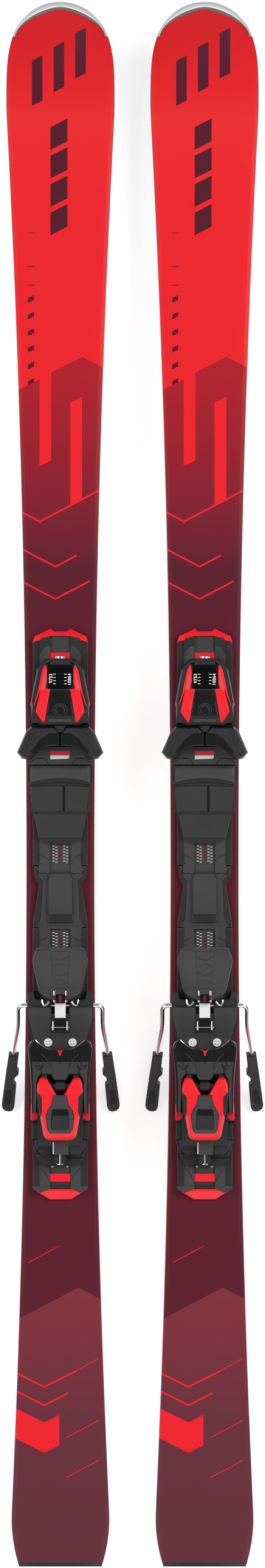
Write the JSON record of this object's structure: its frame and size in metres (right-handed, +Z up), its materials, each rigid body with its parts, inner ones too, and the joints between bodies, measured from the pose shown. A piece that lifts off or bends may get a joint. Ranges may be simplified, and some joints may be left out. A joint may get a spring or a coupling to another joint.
{
  "type": "alpine skis with bindings",
  "caption": "Pair of alpine skis with sidecut, camber and raised tips, each with a railed step-in binding: release wings, heel cup with lever, and a sprung ski brake.",
  "frame": {"origin": "midway between the two skis and midway along them, level with the lowest points of the lowered brake claws", "axes": "+X across the skis, from the left one to the right one; +Y along them towards the tips; +Z up out of the top sheets"},
  "size_m": [0.2732, 1.6174, 0.1285],
  "materials": {
    "base_sheet": "sintered, matt",
    "edge_steel": "ground",
    "core_wood": "laminated",
    "sidewall": "satin",
    "top_sheet": "printed, satin",
    "guard_metal": "brushed",
    "black_plastic": "moulded, fine grain",
    "dark_plastic": "moulded, fine grain",
    "red_plastic": "satin",
    "screw_steel": "zinc plated",
    "window": "clear",
    "spring_steel": "oiled",
    "indicator": "moulded",
    "bright_steel": "polished"
  },
  "bodies": {
    "left_ski": {"left_base": "base_sheet", "left_edges": "edge_steel", "left_core": "core_wood", "left_sidewalls": "sidewall", "left_top_sheet": "top_sheet", "left_tip_guard": "guard_metal", "left_tail_guard": "black_plastic", "left_tracks": "dark_plastic", "left_track_bridge": "dark_plastic", "left_bumpers": "red_plastic", "left_track_screws": "screw_steel"},
    "left_toe_piece": {"left_toe_carriage": "dark_plastic", "left_toe_housing": "black_plastic", "left_toe_fairings": "red_plastic", "left_toe_window": "window", "left_toe_spring": "spring_steel"},
    "left_toe_screw": {"left_toe_screw": "bright_steel"},
    "left_toe_indicator": {"left_toe_nut": "indicator"},
    "left_wing_out": {"left_wing_outer": "dark_plastic"},
    "left_wing_in": {"left_wing_inner": "dark_plastic"},
    "left_gliding_plate": {"left_afd_pad": "dark_plastic"},
    "left_heel_piece": {"left_heel_carriage": "black_plastic", "left_heel_spring": "spring_steel", "left_brake_base": "dark_plastic"},
    "left_heel_cup": {"left_heel_cup": "black_plastic"},
    "left_heel_lever": {"left_heel_lever": "red_plastic"},
    "left_heel_screw": {"left_heel_screw": "bright_steel"},
    "left_brake": {"left_brake_arms": "bright_steel", "left_brake_claws": "black_plastic"},
    "left_brake_pedal": {"left_brake_pedal": "dark_plastic"},
    "right_ski": {"right_base": "base_sheet", "right_edges": "edge_steel", "right_core": "core_wood", "right_sidewalls": "sidewall", "right_top_sheet": "top_sheet", "right_tip_guard": "guard_metal", "right_tail_guard": "black_plastic", "right_tracks": "dark_plastic", "right_track_bridge": "dark_plastic", "right_bumpers": "red_plastic", "right_track_screws": "screw_steel"},
    "right_toe_piece": {"right_toe_carriage": "dark_plastic", "right_toe_housing": "black_plastic", "right_toe_fairings": "red_plastic", "right_toe_window": "window", "right_toe_spring": "spring_steel"},
    "right_toe_screw": {"right_toe_screw": "bright_steel"},
    "right_toe_indicator": {"right_toe_nut": "indicator"},
    "right_wing_out": {"right_wing_outer": "dark_plastic"},
    "right_wing_in": {"right_wing_inner": "dark_plastic"},
    "right_gliding_plate": {"right_afd_pad": "dark_plastic"},
    "right_heel_piece": {"right_heel_carriage": "black_plastic", "right_heel_spring": "spring_steel", "right_brake_base": "dark_plastic"},
    "right_heel_cup": {"right_heel_cup": "black_plastic"},
    "right_heel_lever": {"right_heel_lever": "red_plastic"},
    "right_heel_screw": {"right_heel_screw": "bright_steel"},
    "right_brake": {"right_brake_arms": "bright_steel", "right_brake_claws": "black_plastic"},
    "right_brake_pedal": {"right_brake_pedal": "dark_plastic"}
  },
  "joints": [
    {"name": "left_toe_slide", "type": "slide", "parent": "left_ski", "child": "left_toe_piece", "axis": [0, 1, 0], "range_m": [-0.012, 0.012]},
    {"name": "left_toe_setting", "type": "hinge", "parent": "left_toe_piece", "child": "left_toe_screw", "pos_m": [-0.07475, 0.13, 0.0875], "axis": [0, 1, 0], "range_deg": [-1440, 1440]},
    {"name": "left_toe_indicator_travel", "type": "slide", "parent": "left_toe_piece", "child": "left_toe_indicator", "axis": [0, 1, 0], "range_m": [-0.005, 0.005]},
    {"name": "left_wing_out_release", "type": "hinge", "parent": "left_toe_piece", "child": "left_wing_out", "pos_m": [-0.04875, 0.054, 0.0935], "axis": [0, 0, 1], "range_deg": [0, 25], "stiffness_Nm_per_rad": 20, "springref_deg": -20.05},
    {"name": "left_wing_in_release", "type": "hinge", "parent": "left_toe_piece", "child": "left_wing_in", "pos_m": [-0.10075, 0.054, 0.0935], "axis": [0, 0, 1], "range_deg": [-25, 0], "stiffness_Nm_per_rad": 20, "springref_deg": 20.05},
    {"name": "left_gliding_plate_slide", "type": "slide", "parent": "left_toe_piece", "child": "left_gliding_plate", "axis": [1, 0, 0], "range_m": [-0.006, 0.006], "stiffness_N_per_m": 800},
    {"name": "left_heel_slide", "type": "slide", "parent": "left_ski", "child": "left_heel_piece", "axis": [0, 1, 0], "range_m": [-0.012, 0.012]},
    {"name": "left_heel_cup_close", "type": "hinge", "parent": "left_heel_piece", "child": "left_heel_cup", "pos_m": [-0.07475, -0.318, 0.0915], "axis": [1, 0, 0], "range_deg": [-24, 0]},
    {"name": "left_heel_lever_lift", "type": "hinge", "parent": "left_heel_piece", "child": "left_heel_lever", "pos_m": [-0.07475, -0.31, 0.1135], "axis": [1, 0, 0], "range_deg": [-19.2, 0]},
    {"name": "left_heel_setting", "type": "hinge", "parent": "left_heel_piece", "child": "left_heel_screw", "pos_m": [-0.07475, -0.38, 0.0855], "axis": [0, 1, 0], "range_deg": [-720, 720]},
    {"name": "left_brake_retract", "type": "hinge", "parent": "left_heel_piece", "child": "left_brake", "pos_m": [-0.07475, -0.2274, 0.0765], "axis": [1, 0, 0], "range_deg": [-36, 0], "stiffness_Nm_per_rad": 2.5, "springref_deg": 126.05},
    {"name": "left_brake_pedal_press", "type": "hinge", "parent": "left_heel_piece", "child": "left_brake_pedal", "pos_m": [-0.07475, -0.217, 0.0815], "axis": [1, 0, 0], "range_deg": [-21.6, 0]},
    {"name": "skis_apart", "type": "slide", "parent": "left_ski", "child": "right_ski", "axis": [0, 1, 0], "range_m": [-0.25, 0.25]},
    {"name": "right_toe_slide", "type": "slide", "parent": "right_ski", "child": "right_toe_piece", "axis": [0, 1, 0], "range_m": [-0.012, 0.012]},
    {"name": "right_toe_setting", "type": "hinge", "parent": "right_toe_piece", "child": "right_toe_screw", "pos_m": [0.07475, 0.13, 0.0875], "axis": [0, 1, 0], "range_deg": [-1440, 1440]},
    {"name": "right_toe_indicator_travel", "type": "slide", "parent": "right_toe_piece", "child": "right_toe_indicator", "axis": [0, 1, 0], "range_m": [-0.005, 0.005]},
    {"name": "right_wing_out_release", "type": "hinge", "parent": "right_toe_piece", "child": "right_wing_out", "pos_m": [0.10075, 0.054, 0.0935], "axis": [0, 0, 1], "range_deg": [0, 25], "stiffness_Nm_per_rad": 20, "springref_deg": -20.05},
    {"name": "right_wing_in_release", "type": "hinge", "parent": "right_toe_piece", "child": "right_wing_in", "pos_m": [0.04875, 0.054, 0.0935], "axis": [0, 0, 1], "range_deg": [-25, 0], "stiffness_Nm_per_rad": 20, "springref_deg": 20.05},
    {"name": "right_gliding_plate_slide", "type": "slide", "parent": "right_toe_piece", "child": "right_gliding_plate", "axis": [1, 0, 0], "range_m": [-0.006, 0.006], "stiffness_N_per_m": 800},
    {"name": "right_heel_slide", "type": "slide", "parent": "right_ski", "child": "right_heel_piece", "axis": [0, 1, 0], "range_m": [-0.012, 0.012]},
    {"name": "right_heel_cup_close", "type": "hinge", "parent": "right_heel_piece", "child": "right_heel_cup", "pos_m": [0.07475, -0.318, 0.0915], "axis": [1, 0, 0], "range_deg": [-24, 0]},
    {"name": "right_heel_lever_lift", "type": "hinge", "parent": "right_heel_piece", "child": "right_heel_lever", "pos_m": [0.07475, -0.31, 0.1135], "axis": [1, 0, 0], "range_deg": [-19.2, 0]},
    {"name": "right_heel_setting", "type": "hinge", "parent": "right_heel_piece", "child": "right_heel_screw", "pos_m": [0.07475, -0.38, 0.0855], "axis": [0, 1, 0], "range_deg": [-720, 720]},
    {"name": "right_brake_retract", "type": "hinge", "parent": "right_heel_piece", "child": "right_brake", "pos_m": [0.07475, -0.2274, 0.0765], "axis": [1, 0, 0], "range_deg": [-36, 0], "stiffness_Nm_per_rad": 2.5, "springref_deg": 126.05},
    {"name": "right_brake_pedal_press", "type": "hinge", "parent": "right_heel_piece", "child": "right_brake_pedal", "pos_m": [0.07475, -0.217, 0.0815], "axis": [1, 0, 0], "range_deg": [-21.6, 0]}
  ],
  "couplings": [
    {"joint": "left_toe_indicator_travel", "follows": "left_toe_setting", "m_per_rad": -0.00019894},
    {"joint": "left_heel_lever_lift", "follows": "left_heel_cup_close", "ratio": 0.8},
    {"joint": "left_brake_pedal_press", "follows": "left_brake_retract", "ratio": 0.6},
    {"joint": "right_toe_indicator_travel", "follows": "right_toe_setting", "m_per_rad": -0.00019894},
    {"joint": "right_heel_lever_lift", "follows": "right_heel_cup_close", "ratio": 0.8},
    {"joint": "right_brake_pedal_press", "follows": "right_brake_retract", "ratio": 0.6}
  ]
}
